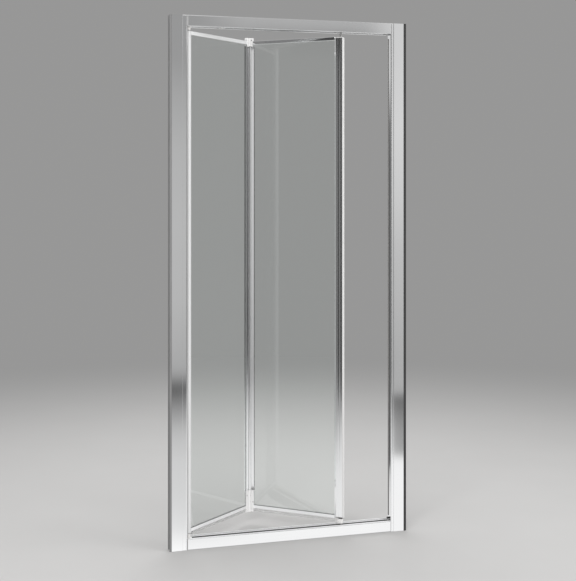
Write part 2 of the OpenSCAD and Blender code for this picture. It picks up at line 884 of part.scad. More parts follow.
// Guide pin from the roller's clip up to pin_end, with a collar above the roller
module guide_pin(collar_end, pin_end) {
    translate([fold_u, 0, 0]) {
        translate([0, 0, roller_z0 - 2.2]) cylinder(h = pin_end - roller_z0 + 2.2, r = pin_r);
        translate([0, 0, roller_z0 + roller_h + 0.3])
            cylinder(h = collar_end - roller_z0 - roller_h - 0.3, r = collar_r);
    }
}

module guide_pin_bottom() {
    color("gainsboro") in_leaf_2() guide_pin(block_z0, lead_z0 + 22);
}

module guide_pin_top() {
    color("gainsboro") in_leaf_2() at_head() guide_pin(door_h - lead_z1 - 2, door_h - lead_z1 + 22);
}

module roller_clip() {
    translate([fold_u, 0, roller_z0 - clip_t - 0.3]) difference() {
        cylinder(h = clip_t, r = clip_r);
        translate([0, 0, -1]) cylinder(h = clip_t + 2, r = pin_r + 0.02);
    }
}

module roller_clips() {
    color("gainsboro") in_leaf_2() {
        roller_clip();
        at_head() roller_clip();
    }
}

module guide_roller() {
    rim = 1;
    translate([fold_u, 0, roller_z0]) difference() {
        union() {
            translate([0, 0, rim]) cylinder(h = roller_h - 2 * rim, r = roller_r);
            cylinder(h = rim, r1 = roller_r - rim, r2 = roller_r);
            translate([0, 0, roller_h - rim]) cylinder(h = rim, r1 = roller_r, r2 = roller_r - rim);
        }
        translate([0, 0, -1]) cylinder(h = roller_h + 2, r = pin_r + run_gap);
    }
}

module guide_roller_bottom() {
    color("white") in_leaf_2() guide_roller();
}

module guide_roller_top() {
    color("white") in_leaf_2() at_head() guide_roller();
}

// ---- Drawing ----

wall_seal_left();
wall_seal_right();
wall_profile_left();
wall_profile_right();
jamb_left();
jamb_right();
profile_cap_left();
profile_cap_right();
head_rail();
sill_rail();
rail_end_plugs();
corner_screws();
adjusting_screws();
adjusting_screw_caps();
pivot_block_top();
pivot_block_bottom();
pivot_jamb_seal();
jamb_magnet_strip();
closing_bumper();
track_stop();
pivot_stile();
fold_stile_1();
top_rail_1();
bottom_rail_1();
glass_1();
glazing_gasket_1();
glass_packers_1();
bottom_seal_1();
fold_seal();
pivot_pin_top();
pivot_pin_bottom();
hinge_cap_top_1();
hinge_cap_bottom_1();
hinge_cap_screws_1();
hinge_pin_top();
hinge_pin_bottom();
fold_stile_2();
leading_stile();
top_rail_2();
bottom_rail_2();
glass_2();
glazing_gasket_2();
glass_packers_2();
bottom_seal_2();
leaf_magnet_strip();
hinge_cap_top_2();
hinge_cap_bottom_2();
hinge_cap_screws_2();
guide_block_top();
guide_block_bottom();
guide_pin_top();
guide_pin_bottom();
roller_clips();
guide_roller_top();
guide_roller_bottom();
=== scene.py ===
# %% [markdown]
# # A bifold shower door
# The door's measured solids come from its construction program as a fixed frame. This lesson
# dresses them: it sets up the portrait's camera and room, mixes one finish for each material, and
# rebuilds the pieces whose edges, flutes, lips or turned shapes catch the light. Nothing here
# moves a hinge or changes a size: each new piece keeps the place and the measures of the solid
# that it stands for.

# %% Load the fixed frame
import json
import math

import bmesh
import bpy
from mathutils import Matrix, Vector


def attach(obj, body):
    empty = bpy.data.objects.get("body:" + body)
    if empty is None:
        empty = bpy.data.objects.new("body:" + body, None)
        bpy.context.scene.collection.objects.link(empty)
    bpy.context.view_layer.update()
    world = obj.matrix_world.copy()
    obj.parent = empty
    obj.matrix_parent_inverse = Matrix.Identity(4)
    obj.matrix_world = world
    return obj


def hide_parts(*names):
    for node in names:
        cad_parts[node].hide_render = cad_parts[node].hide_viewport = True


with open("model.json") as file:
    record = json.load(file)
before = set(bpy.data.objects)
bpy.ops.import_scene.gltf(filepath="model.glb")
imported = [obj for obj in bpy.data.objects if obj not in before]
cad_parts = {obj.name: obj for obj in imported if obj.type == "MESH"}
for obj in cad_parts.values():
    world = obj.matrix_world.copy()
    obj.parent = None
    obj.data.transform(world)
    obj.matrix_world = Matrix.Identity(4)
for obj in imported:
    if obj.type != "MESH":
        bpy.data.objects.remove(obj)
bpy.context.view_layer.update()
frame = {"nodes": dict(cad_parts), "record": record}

scene = bpy.context.scene

# %% [markdown]
# ## Where the two leaves stand
# Leaf 1 turns on a pivot beside the left jamb, and leaf 2 hangs on leaf 1 at the fold. It is far
# easier to think along a leaf than along the doorway, so each leaf gets a matrix: X runs along
# the leaf, Y = 0 lies in the glass, and Z is up. A piece is built in that space in millimetres
# and then moved into place, mesh and all. What runs in the sill runs in the head too, upside
# down, so a third matrix turns a piece over to the head.

# %% Places of the leaves
MM = 0.001
DOOR_H = 1900.0
REST_ANGLE = math.radians(40.45)
PIVOT_X = -376.0
FOLD_U = 371.6
HALF_T = 6.5

link = math.hypot(FOLD_U, HALF_T)
link_angle = REST_ANGLE - math.atan(HALF_T / FOLD_U)
FOLD_X = PIVOT_X + link * math.cos(link_angle)
FOLD_Y = link * math.sin(link_angle)


def moved(x, y, z):
    """Matrix that moves by millimetres."""
    return Matrix.Translation(Vector((x, y, z)) * MM)


LEAF_1 = moved(PIVOT_X, 0, 0) @ Matrix.Rotation(REST_ANGLE, 4, "Z")
LEAF_2 = moved(FOLD_X, FOLD_Y, 0) @ Matrix.Rotation(-REST_ANGLE, 4, "Z") @ moved(0, HALF_T, 0)
AT_HEAD = moved(0, 0, DOOR_H) @ Matrix.Diagonal((1, 1, -1, 1))
print("fold axis at", round(FOLD_X, 2), round(FOLD_Y, 2), "mm")

# %% [markdown]
# ## The camera
# The photograph was taken a little to the left of the doorway, from about four metres, with the
# camera level at 1.3 m. A level camera keeps the uprights parallel, and the door hangs lower in
# the picture only because the lens was shifted. The same is done here with shift_y, instead of
# tilting.

# %% Set up the camera
camera_data = bpy.data.cameras.new("portrait_camera")
camera = bpy.data.objects.new("portrait_camera", camera_data)
scene.collection.objects.link(camera)
camera.location = (-1.2221, -4.0798, 1.303)
camera.rotation_euler = (math.radians(90), 0, math.radians(-16.6))
camera_data.lens = 72.06
camera_data.sensor_width = 36.0
camera_data.shift_y = -0.185
scene.camera = camera
scene.view_settings.view_transform = "Standard"
print("camera", [round(c, 3) for c in camera.location], "lens", camera_data.lens)

# %% [markdown]
# ## A bench for node trees
# A finish is a small network of nodes. Writing each node and link by hand hides the idea behind
# it, so two classes help. A Wire wraps one output socket, and plain sums on wires become Math
# nodes. A Bench adds any other node from its type, its settings and its inputs, in one call.


# %% Wires and the bench
class Wire:
    """One output socket. A sum written with it adds a Math node."""

    def __init__(self, bench, socket):
        self.bench, self.socket = bench, socket

    def sum(self, operation, a, b, clamp=False):
        settings = {"operation": operation, "use_clamp": clamp}
        return self.bench.node("ShaderNodeMath", settings, {0: a, 1: b})

    def __add__(self, other):
        return self.sum("ADD", self, other)

    def __sub__(self, other):
        return self.sum("SUBTRACT", self, other)

    def __rsub__(self, other):
        return self.sum("SUBTRACT", other, self)

    def __mul__(self, other):
        return self.sum("MULTIPLY", self, other)

    __radd__ = __add__
    __rmul__ = __mul__

    def clamped(self):
        return self.sum("ADD", self, 0.0, clamp=True)


class Bench:
    """Adds nodes to one tree, a finish's or the world's."""

    def __init__(self, tree):
        self.tree = tree

    def node(self, kind, settings=None, inputs=None, output=0):
        made = self.tree.nodes.new(kind)
        for name, value in (settings or {}).items():
            if name == "stops":
                first, last = made.color_ramp.elements[0], made.color_ramp.elements[1]
                first.position, first.color = value[0]
                last.position, last.color = value[-1]
                for place, colour in value[1:-1]:
                    made.color_ramp.elements.new(place).color = colour
            else:
                setattr(made, name, value)
        for name, value in (inputs or {}).items():
            if isinstance(value, Wire):
                self.tree.links.new(value.socket, made.inputs[name])
            else:
                made.inputs[name].default_value = value
        return Wire(self, made.outputs[output])

    def mix(self, amount, a, b):
        """Colour a where amount is 0, and b where it is 1."""
        return self.node("ShaderNodeMix", {"data_type": "RGBA"}, {0: amount, 6: a, 7: b}, 2)

    def ramp(self, amount, stops):
        return self.node("ShaderNodeValToRGB", {"stops": stops}, {0: amount})

    def between(self, value, low, high):
        """0 where value is low and 1 where it is high, eased at both ends."""
        inputs = {"Value": value, "From Min": low, "From Max": high}
        return self.node("ShaderNodeMapRange", {"interpolation_type": "SMOOTHSTEP"}, inputs)

    def axes(self, vector):
        parts = self.node("ShaderNodeSeparateXYZ", None, {0: vector})
        outputs = parts.socket.node.outputs
        return [Wire(self, outputs[i]) for i in range(3)]


def grey(value, warm=0.0):
    """Grey of one linear value, a touch warmer or cooler."""
    return (value * (1 + warm), value, value * (1 - warm), 1.0)


print("the bench is ready")

# %% [markdown]
# ## The room
# Polished metal has hardly any colour of its own: it shows the room. A product photographer would
# stand grey and white cards round the door, but cards also shade the door and show through its
# glass. A world that answers by what asks does the same without them. The camera sees a plain
# backdrop, and matt surfaces get soft white light from all sides, a little less of it from
# straight above. Mirror-like surfaces see a studio of greys. It depends on direction only, so it
# stays put when the camera moves round. X points along the doorway to the right, and Y points
# through it to the inside.

# %% The world and its directions
BACKDROP = grey(0.31, 0.004)
SOFT_LIGHT = 0.92
HEIGHT_SCALE = 1.25
HEIGHT_MIDDLE = 0.5
FAR_BELOW = (-0.40, 0.60)

world = bpy.data.worlds.new("studio")
scene.world = world
world.use_nodes = True
world.cycles.sampling_method = "NONE"
room = Bench(world.node_tree)
room.tree.nodes.clear()

direction = room.node("ShaderNodeTexCoord", output="Generated")
dir_x, dir_y, dir_z = room.axes(direction)


def level(sine):
    """Place on the height ramps of a direction, from the sine of its elevation."""
    return sine * HEIGHT_SCALE + HEIGHT_MIDDLE


height = level(dir_z).clamped()


def ramp_by_height(*stops):
    """Greys by the sine of the elevation. Far below, all sides share one grey."""
    return room.ramp(height, [(level(sine), grey(value)) for sine, value in (FAR_BELOW, *stops)])


def join(axis, start, end, near, far):
    """Shows near where the axis is at start, and far where it is at end."""
    return room.mix(room.between(axis, start, end), near, far)


print("studio heights run from", FAR_BELOW[0], "to 0.4")

# %% [markdown]
# ## Greys of the studio
# Each upright of the door mirrors one narrow sector of the studio, as a band of tones from its
# foot to its head. So each sector is a ramp of greys by height: a bright ground, a dark band
# above it and a middle grey or black higher up, with the stops where the tone turns on that
# upright in the photograph. Below the portrait's own heights every ramp falls to the same grey,
# or the metal would turn white in a view from above.

# %% In front of the door
front_left = ramp_by_height(
    (-0.30, 1.12), (-0.284, 0.86), (-0.268, 0.78), (-0.254, 0.74), (-0.231, 0.70), (-0.223, 0.65),
    (-0.215, 0.62), (-0.207, 0.55), (-0.199, 0.44), (-0.191, 0.34), (-0.183, 0.23),
    (-0.1745, 0.12), (-0.171, 0.14), (-0.163, 0.36), (-0.157, 0.45), (-0.13, 0.49), (-0.10, 0.53),
    (-0.036, 0.54), (0.028, 0.51), (0.08, 0.42), (0.105, 0.36), (0.20, 0.34), (0.40, 0.85))
front_middle = ramp_by_height(
    (-0.31, 1.03), (-0.285, 1.04), (-0.25, 1.02), (-0.207, 1.00), (-0.199, 0.92), (-0.191, 0.84),
    (-0.183, 0.72), (-0.175, 0.55), (-0.1668, 0.36), (-0.1587, 0.16), (-0.150, 0.08),
    (-0.142, 0.05), (-0.10, 0.06), (0.00, 0.09), (0.071, 0.12), (0.118, 0.17), (0.13, 0.50),
    (0.40, 0.50))
front_dark = ramp_by_height(
    (-0.31, 1.00), (-0.26, 1.00), (-0.223, 0.85), (-0.199, 0.60), (-0.183, 0.35), (-0.172, 0.14),
    (0.40, 0.14))
front_right = ramp_by_height(
    (-0.31, 1.04), (-0.2645, 1.03), (-0.229, 1.02), (-0.2265, 0.40), (-0.222, 0.37),
    (-0.215, 0.36), (-0.207, 0.33), (-0.199, 0.28), (-0.191, 0.22), (-0.184, 0.15),
    (-0.1795, 0.16), (-0.1765, 0.48), (-0.15, 0.48), (-0.10, 0.54), (-0.057, 0.59),
    (-0.0146, 0.68), (0.045, 0.75), (0.131, 0.70), (0.40, 0.85))
front_corner = ramp_by_height(
    (-0.31, 0.92), (-0.25, 0.90), (-0.222, 0.80), (-0.207, 0.68), (-0.183, 0.60), (-0.173, 0.48),
    (-0.165, 0.34), (-0.143, 0.42), (-0.10, 0.50), (-0.05, 0.56), (0.03, 0.62), (0.0885, 0.66),
    (0.13, 0.60), (0.40, 0.70))
print("greys in front: left, middle, dark, right and corner")

# %% At the left
left_side = ramp_by_height(
    (-0.31, 0.90), (-0.245, 0.86), (-0.222, 0.66), (-0.20, 0.42), (-0.183, 0.33), (-0.155, 0.15),
    (-0.05, 0.18), (0.105, 0.19), (0.114, 0.04), (0.20, 0.04), (0.40, 0.60))
left_gap = ramp_by_height(
    (-0.31, 0.90), (-0.245, 0.86), (-0.223, 0.78), (-0.207, 0.66), (-0.199, 0.54), (-0.191, 0.36),
    (-0.183, 0.15), (-0.177, 0.05), (-0.1665, 0.02), (-0.143, 0.03), (-0.05, 0.05), (0.03, 0.06),
    (0.105, 0.05), (0.40, 0.40))
left_edge = ramp_by_height(
    (-0.31, 0.95), (-0.26, 1.05), (-0.222, 1.00), (-0.199, 0.85), (-0.183, 0.60), (-0.165, 0.20),
    (-0.143, 0.12), (0.00, 0.16), (0.105, 0.20), (0.40, 0.40))
left_level = ramp_by_height(
    (-0.31, 0.92), (-0.26, 0.90), (-0.223, 0.66), (-0.207, 0.50), (-0.183, 0.42), (0.40, 0.42))
print("greys at the left: side, gap, edge and level")

# %% At the right and inside
right_side = ramp_by_height(
    (-0.31, 0.93), (-0.26, 0.92), (-0.222, 0.80), (-0.185, 0.56), (-0.165, 0.20), (-0.143, 0.07),
    (-0.08, 0.12), (0.05, 0.15), (0.105, 0.20), (0.112, 0.70), (0.12, 1.35), (0.14, 1.25),
    (0.16, 0.95), (0.40, 0.90))
right_barrel = ramp_by_height(
    (-0.31, 1.00), (-0.223, 1.02), (-0.199, 1.02), (-0.183, 0.92), (-0.165, 0.78), (-0.143, 0.88),
    (0.00, 0.98), (0.105, 1.05), (0.14, 1.00), (0.40, 0.95))
inside_left = ramp_by_height(
    (-0.31, 0.95), (-0.2615, 0.92), (-0.246, 0.72), (-0.2385, 0.50), (-0.233, 0.12),
    (-0.10, 0.11), (0.02, 0.13), (0.05, 0.20), (0.09, 0.70), (0.40, 0.75))
inside_right = ramp_by_height((-0.31, 0.85), (0.31, 0.85), (0.40, 0.75))
print("greys at the right and inside: side, barrel, inside left and inside right")

# %% [markdown]
# ## One studio from all the sectors
# The sectors are joined two by two, each pair over a few degrees, so that no hard line shows in a
# rounded corner. A Mix node takes the amount from one axis of the direction. The left side runs
# from straight ahead round to level with the door, and so does the right side, and a last join
# puts the darker inside behind them. One small patch, left_high, is there for leaf 2's top rail
# alone.

# %% Join the sectors
front = join(dir_x, 0.205, 0.25, front_left, front_middle)
front = join(dir_x, 0.348, 0.366, front, front_right)
left = join(dir_y, -0.80, -0.74, front_dark, front_corner)
left = join(dir_y, -0.60, -0.52, left, left_side)
left_high = join(dir_y, -0.44, -0.42, left, grey(0.26))
left = join(height, level(0.108), level(0.114), left, left_high)
left = join(dir_y, -0.365, -0.315, left, left_gap)
left = join(dir_y, -0.20, -0.14, left, left_edge)
left = join(dir_y, -0.06, -0.03, left, left_level)
right = join(dir_x, 0.42, 0.47, front, right_side)
right = join(dir_x, 0.58, 0.64, right, right_barrel)
right = join(dir_x, 0.90, 0.94, right, grey(0.12))
right = join(dir_y, -0.06, -0.03, right, grey(0.30))
outside = join(dir_x, 0.0, 0.15, left, right)
inside = join(dir_x, -0.12, 0.1, inside_left, inside_right)
inside = join(dir_x, 0.5, 0.65, inside, right_side)
inside = join(dir_x, -0.60, -0.72, inside, grey(0.25))
studio = join(dir_y, 0.2, 0.35, outside, inside)
print("studio nodes:", len(room.tree.nodes))

# %% [markdown]
# ## Who sees what
# Light Path tells what kind of ray asks. A camera ray, or one that has only passed through glass,
# gets the backdrop. A ray that has been mirrored at least once gets the studio. All others carry
# light to matt surfaces, and get the soft white.

# %% Answer by the kind of ray
path = room.node("ShaderNodeLightPath")
rays = path.socket.node.outputs
direct = Wire(room, rays["Is Camera Ray"]) + Wire(room, rays["Is Transmission Ray"])
mirrored = Wire(room, rays["Glossy Depth"]).clamped()
seen = direct * (1.0 - mirrored)

soft_white = join(dir_z, 0.15, 0.75, grey(1.0), grey(0.72))
soft = room.node("ShaderNodeBackground", None, {"Color": soft_white, "Strength": SOFT_LIGHT})
mirror = room.node("ShaderNodeBackground", None, {"Color": studio, "Strength": 1.0})
plain = room.node("ShaderNodeBackground", None, {"Color": BACKDROP, "Strength": 1.0})
lit = room.node("ShaderNodeMixShader", None, {0: mirrored, 1: soft, 2: mirror})
shown = room.node("ShaderNodeMixShader", None, {0: seen, 1: lit, 2: plain})
world_output = room.tree.nodes.new("ShaderNodeOutputWorld")
room.tree.links.new(shown.socket, world_output.inputs["Surface"])
print("world nodes:", len(room.tree.nodes))

# %% [markdown]
# ## Soft lamps
# The world alone would light everything alike, so three large lamps give the pale plastic some
# shape: a key from the front left, a weaker fill from the right, and a faint one high up inside.
# A big lamp gives soft shadows. The lamps are hidden from mirror-like surfaces, which already see
# the studio; a bright rectangle on every profile would be the lamp's picture, and not the door's
# look.


# %% Key, fill and top lamp
def soft_lamp(name, place, aim, width, power):
    data = bpy.data.lights.new(name, "AREA")
    data.shape, data.size, data.energy = "SQUARE", width, power
    lamp = bpy.data.objects.new(name, data)
    scene.collection.objects.link(lamp)
    lamp.location = place
    lamp.rotation_euler = (Vector(aim) - Vector(place)).to_track_quat("-Z", "Y").to_euler()
    lamp.visible_glossy = False
    lamp.visible_camera = False
    lamp.visible_transmission = False
    return lamp


lamps = [
    soft_lamp("key_lamp", (-2.6, -4.2, 3.4), (0, 0, 1.0), 2.6, 118),
    soft_lamp("fill_lamp", (3.4, -3.4, 2.2), (0, 0, 0.9), 2.6, 66),
    soft_lamp("top_lamp", (0.4, 2.4, 3.6), (0, 0.1, 1.0), 2.0, 26),
]
print("lamps:", [lamp.name for lamp in lamps])

# %% [markdown]
# ## Finishes start from one class
# A Finish is a bench around a Principled shader. Numbers that are the same all over go straight
# onto the shader's sockets. What changes over the surface comes in through feed. Patterns read
# object coordinates, turned so that X runs along the leaf where a bar lies in a leaf. Metres are
# large for this, so a stretch of 900 gives a pattern of about a millimetre.


# %% The Finish class
class Finish(Bench):
    """A material around one Principled shader."""

    def __init__(self, name, constants):
        self.material = bpy.data.materials.new(name)
        self.material.use_nodes = True
        super().__init__(self.material.node_tree)
        self.shader = self.tree.nodes["Principled BSDF"]
        for socket, value in constants.items():
            self.shader.inputs[socket].default_value = value

    def feed(self, socket, wire):
        self.tree.links.new(wire.socket, self.shader.inputs[socket])

    def place(self, turn=0.0):
        spot = self.node("ShaderNodeTexCoord", output="Object")
        return self.node("ShaderNodeMapping", None, {"Vector": spot, "Rotation": (0, 0, -turn)})

    def noise(self, where, stretch, detail=2.0):
        factors = {0: where, 1: stretch}
        scaled = self.node("ShaderNodeVectorMath", {"operation": "MULTIPLY"}, factors)
        inputs = {"Vector": scaled, "Scale": 1.0, "Detail": detail}
        return self.node("ShaderNodeTexNoise", None, inputs)

    def bump(self, relief, strength, depth_mm):
        inputs = {"Height": relief, "Strength": strength, "Distance": depth_mm * MM}
        self.feed("Normal", self.node("ShaderNodeBump", None, inputs))


# %% [markdown]
# ## The floor
# The door stands on a plain pale floor that keeps its shadow. A floor that simply ends would draw
# a horizon across the glass, so what the camera sees of it fades into the backdrop's colour with
# distance. Only camera and see-through rays get that faded colour, so it sends no light to the
# door. A ray that metal or glass has mirrored finds no floor at all, because the studio already
# has one.

# %% Floor
FLOOR_RADIUS = 14.0
FLOOR_DROP = 0.0006
FADE_FROM, FADE_TO = 0.9, 4.5
floor_finish = Finish("pale_floor", {"Roughness": 0.7, "Specular IOR Level": 0.2})
floor_spot = floor_finish.place()
floor_cloud = floor_finish.noise(floor_spot, (3, 3, 3), 3.0)
floor_tone = floor_finish.mix(floor_cloud, grey(0.575, 0.01), grey(0.605, 0.01))
floor_finish.feed("Base Color", floor_tone)
distance = floor_finish.node("ShaderNodeVectorMath", {"operation": "LENGTH"}, {0: floor_spot}, 1)
far = floor_finish.between(distance, FADE_FROM, FADE_TO)
floor_rays = floor_finish.node("ShaderNodeLightPath").socket.node.outputs
floor_seen = (Wire(floor_finish, floor_rays["Is Camera Ray"])
              + Wire(floor_finish, floor_rays["Is Transmission Ray"]))
mirrored_floor = Wire(floor_finish, floor_rays["Glossy Depth"]).clamped()
haze = floor_finish.node("ShaderNodeEmission", None, {"Color": BACKDROP, "Strength": 1.0})
surface = Wire(floor_finish, floor_finish.shader.outputs[0])
fading_inputs = {0: far * floor_seen, 1: surface, 2: haze}
fading = floor_finish.node("ShaderNodeMixShader", None, fading_inputs)
nothing = floor_finish.node("ShaderNodeBsdfTransparent")
kept_out_inputs = {0: mirrored_floor, 1: fading, 2: nothing}
kept_out = floor_finish.node("ShaderNodeMixShader", None, kept_out_inputs)
floor_output = floor_finish.tree.nodes["Material Output"]
floor_finish.tree.links.new(kept_out.socket, floor_output.inputs["Surface"])

floor_mesh = bmesh.new()
bmesh.ops.create_circle(floor_mesh, cap_ends=True, segments=96, radius=FLOOR_RADIUS,
                        matrix=Matrix.Translation((0, 0, -FLOOR_DROP)))
floor_data = bpy.data.meshes.new("studio_floor")
floor_mesh.to_mesh(floor_data)
floor_mesh.free()
floor = bpy.data.objects.new("studio_floor", floor_data)
scene.collection.objects.link(floor)
floor_data.materials.append(floor_finish.material)
floor.visible_glossy = False
print("floor radius", FLOOR_RADIUS, "m")

# %% [markdown]
# ## Polished aluminium
# All profiles are extruded aluminium, brightened and anodised. The die leaves fine lines along
# each bar, and buffing leaves faint clouds. The lines are noise that is squeezed across the bar
# and stretched along it. Lines and clouds change the tone and the roughness a little, and the
# lines the height too, by a few thousandths of a millimetre. The frame and the stiles are nearly
# mirrors, because in the photograph their faces go from black to white. The pivot stile and most
# of the leaves' rails stay pale from end to end there, so they get a whiter satin with little
# metal in it. The sill's slot gets a dark copy of the aluminium that is painted shade, and the
# head's slot and the sill's lands a pale copy that is painted light.

# %% Aluminium for uprights and for rails
UP = (850, 850, 3)
ALONG = (3, 850, 850)
CLOUDS = (11, 11, 4)


def drawn_aluminium(name, grain, shine, turn=0.0, light=0.90, dark=0.84, metal=1.0):
    finish = Finish(name, {"Metallic": metal, "Specular IOR Level": 0.5})
    spot = finish.place(turn)
    lines = finish.noise(spot, grain, 3.0)
    clouds = finish.noise(spot, CLOUDS, 2.0)
    tone = lines * 0.45 + clouds * 0.55
    finish.feed("Base Color", finish.mix(tone, grey(dark, -0.006), grey(light, -0.002)))
    finish.feed("Roughness", shine + lines * 0.02 + clouds * 0.03)
    finish.bump(lines, 0.2, 0.004)
    return finish.material


frame_upright = drawn_aluminium("frame_aluminium_upright", UP, 0.02)
frame_rail = drawn_aluminium("frame_aluminium_rail", ALONG, 0.05)
# Painted shade: a dark copy of the frame's aluminium for the sill's slot. Painted light: a pale
# copy for the head's slot and the sill's lands.
slot_painted_shade = drawn_aluminium("frame_aluminium_slot", ALONG, 0.4, light=0.16, dark=0.12, metal=0.3)
land_painted_light = drawn_aluminium("frame_aluminium_land", ALONG, 0.3, light=0.95, dark=0.92, metal=0.15)
stile_bright = drawn_aluminium("leaf_aluminium_stile", UP, 0.05, light=0.93, dark=0.88)
pivot_satin = drawn_aluminium("leaf_aluminium_pivot", UP, 0.2, light=0.88, dark=0.84, metal=0.15)
rail_1_satin = drawn_aluminium("leaf_1_aluminium_rail", ALONG, 0.2, turn=REST_ANGLE,
                               light=0.97, dark=0.94, metal=0.1)
rail_2_satin = drawn_aluminium("leaf_2_aluminium_rail", ALONG, 0.2, turn=-REST_ANGLE,
                               light=0.97, dark=0.94, metal=0.1)
rail_2_bright = drawn_aluminium("leaf_2_aluminium_top_rail", ALONG, 0.05, turn=-REST_ANGLE,
                                light=0.93)
print("aluminium finishes made")

# %% [markdown]
# ## Safety glass
# Clear float glass has a faint green tint, strong only where light travels along the sheet, at
# its ground edges. Rolling and heating leave a very long, shallow wave, which shows as a slight
# swim in what one sees through it. So the faces get a nearly white transmission with a slow wave
# in the bump, and the edges a second finish: green, and a little rough from the grinding.

# %% Glass faces and glass edges
GLASS_IOR = 1.46
SHEET_TINTS = ((0.955, 0.985, 0.972, 1), (0.968, 0.99, 0.98, 1))
EDGE_TINTS = ((0.34, 0.56, 0.48, 1), (0.50, 0.70, 0.62, 1))

glass = Finish("clear_glass", {"Transmission Weight": 1.0, "IOR": GLASS_IOR})
glass_spot = glass.place()
sheet_tone = glass.noise(glass_spot, (2.5, 2.5, 2.5), 1.0)
glass.feed("Base Color", glass.mix(sheet_tone, *SHEET_TINTS))
glass.feed("Roughness", glass.noise(glass_spot, (14, 14, 14), 2.0) * 0.012)
glass.bump(glass.noise(glass_spot, (4, 4, 2.2), 0.0), 0.05, 0.5)
clear_glass = glass.material

ground = Finish("glass_ground_edge", {"Transmission Weight": 0.75, "IOR": GLASS_IOR})
ground_spot = ground.place()
grinding = ground.noise(ground_spot, (600, 600, 60), 2.0)
ground.feed("Base Color", ground.mix(grinding, *EDGE_TINTS))
ground.feed("Roughness", 0.18 + grinding * 0.2)
ground.bump(grinding, 0.2, 0.02)
glass_edge = ground.material
print("glass finishes made")

# %% [markdown]
# ## Moulded plastic
# The hinge caps, blocks and rollers are injection moulded. Such plastic is satin: the mould's
# skin scatters a highlight, and under it the colour is slightly uneven. Fine noise in the bump
# gives the skin, and a coarser one moves the tone and the roughness. The glazing gasket is a thin
# smooth vinyl that shows the metal round it, so it gets most of a metal's mirror.


# %% Moulded finishes
def moulded(name, low, high, sheen, metal=0.0):
    finish = Finish(name, {"IOR": 1.5, "Specular IOR Level": 0.5, "Metallic": metal})
    spot = finish.place()
    flow = finish.noise(spot, (45, 45, 30), 3.0)
    grain = finish.noise(spot, (1600, 1600, 1600), 1.0)
    finish.feed("Base Color", finish.mix(flow, low, high))
    finish.feed("Roughness", sheen + flow * 0.08 + grain * 0.08)
    finish.bump(grain, 0.06, 0.03)
    return finish.material


white_nylon = moulded("white_nylon", grey(0.78, 0.012), grey(0.86, 0.012), 0.30)
cap_nylon = moulded("cap_nylon", grey(0.91, 0.004), grey(0.96, 0.004), 0.22)
gasket_vinyl = moulded("gasket_vinyl", grey(0.70), grey(0.78), 0.10, metal=0.75)
grey_plastic = moulded("grey_plastic", grey(0.50), grey(0.56), 0.34)
magnet_white = moulded("magnet_white", grey(0.71, 0.008), grey(0.76, 0.008), 0.26)
print("moulded finishes made")

# %% [markdown]
# ## Rubber and clear seals
# Rubber is dark and dull, with a dusty bloom in patches. The wipers under the leaves are clear
# flexible plastic, drawn through a die, with faint flow lines along the leaf and slightly milky.


# %% Rubber and wiper finishes
def rubber(name, low, high, dull):
    finish = Finish(name, {"IOR": 1.5, "Specular IOR Level": 0.35})
    spot = finish.place()
    bloom = finish.noise(spot, (60, 60, 12), 4.0)
    grain = finish.noise(spot, (1100, 1100, 500), 2.0)
    finish.feed("Base Color", finish.mix(bloom, low, high))
    finish.feed("Roughness", dull + bloom * 0.15)
    finish.bump(grain, 0.12, 0.04)
    return finish.material


# The wall seals are rubber, and their dark also paints the shadow gap where each wall profile
# meets the wall: black at the right, and a paler grey at the left, where that shade is fainter.
wall_rubber = rubber("wall_rubber", grey(0.03), grey(0.05), 0.55)
wall_seal_painted_shade_left = rubber("wall_rubber_left", grey(0.20), grey(0.25), 0.5)
dark_rubber = rubber("dark_rubber", grey(0.03), grey(0.055), 0.5)
magnet_grey = rubber("magnet_grey", grey(0.22, 0.02), grey(0.28, 0.02), 0.4)


def clear_wiper(name, turn):
    finish = Finish(name, {"Transmission Weight": 0.9, "IOR": 1.2})
    spot = finish.place(turn)
    flow = finish.noise(spot, (4, 700, 700), 2.0)
    milk = finish.noise(spot, (30, 30, 30), 2.0)
    finish.feed("Base Color", finish.mix(milk, grey(0.94), grey(0.98)))
    finish.feed("Roughness", 0.12 + flow * 0.12 + milk * 0.08)
    finish.bump(flow, 0.15, 0.02)
    return finish.material


wiper_1_clear = clear_wiper("leaf_1_clear_seal", REST_ANGLE)
wiper_2_clear = clear_wiper("leaf_2_clear_seal", -REST_ANGLE)
print("rubber and wiper finishes made")

# %% [markdown]
# ## Steel
# Screws and pins are plain steel, turned on a lathe and tumbled. At this size only a mottled
# brightness shows.

# %% Steel
steel = Finish("steel", {"Metallic": 1.0})
steel_spot = steel.place()
turning = steel.noise(steel_spot, (500, 500, 1800), 2.0)
tumbling = steel.noise(steel_spot, (160, 160, 160), 3.0)
steel.feed("Base Color", steel.mix(tumbling, grey(0.46, 0.01), grey(0.62, 0.01)))
steel.feed("Roughness", 0.22 + turning * 0.12 + tumbling * 0.1)
steel.bump(turning, 0.1, 0.01)
plain_steel = steel.material
print("steel made; finishes in all:", len(bpy.data.materials))

# %% [markdown]
# ## Every solid gets its finish
# The frame's record says which material each solid is made of. Bars that run up, across, or along
# a leaf need the lines in their own direction, so those are named one by one, and all the others
# follow the record.

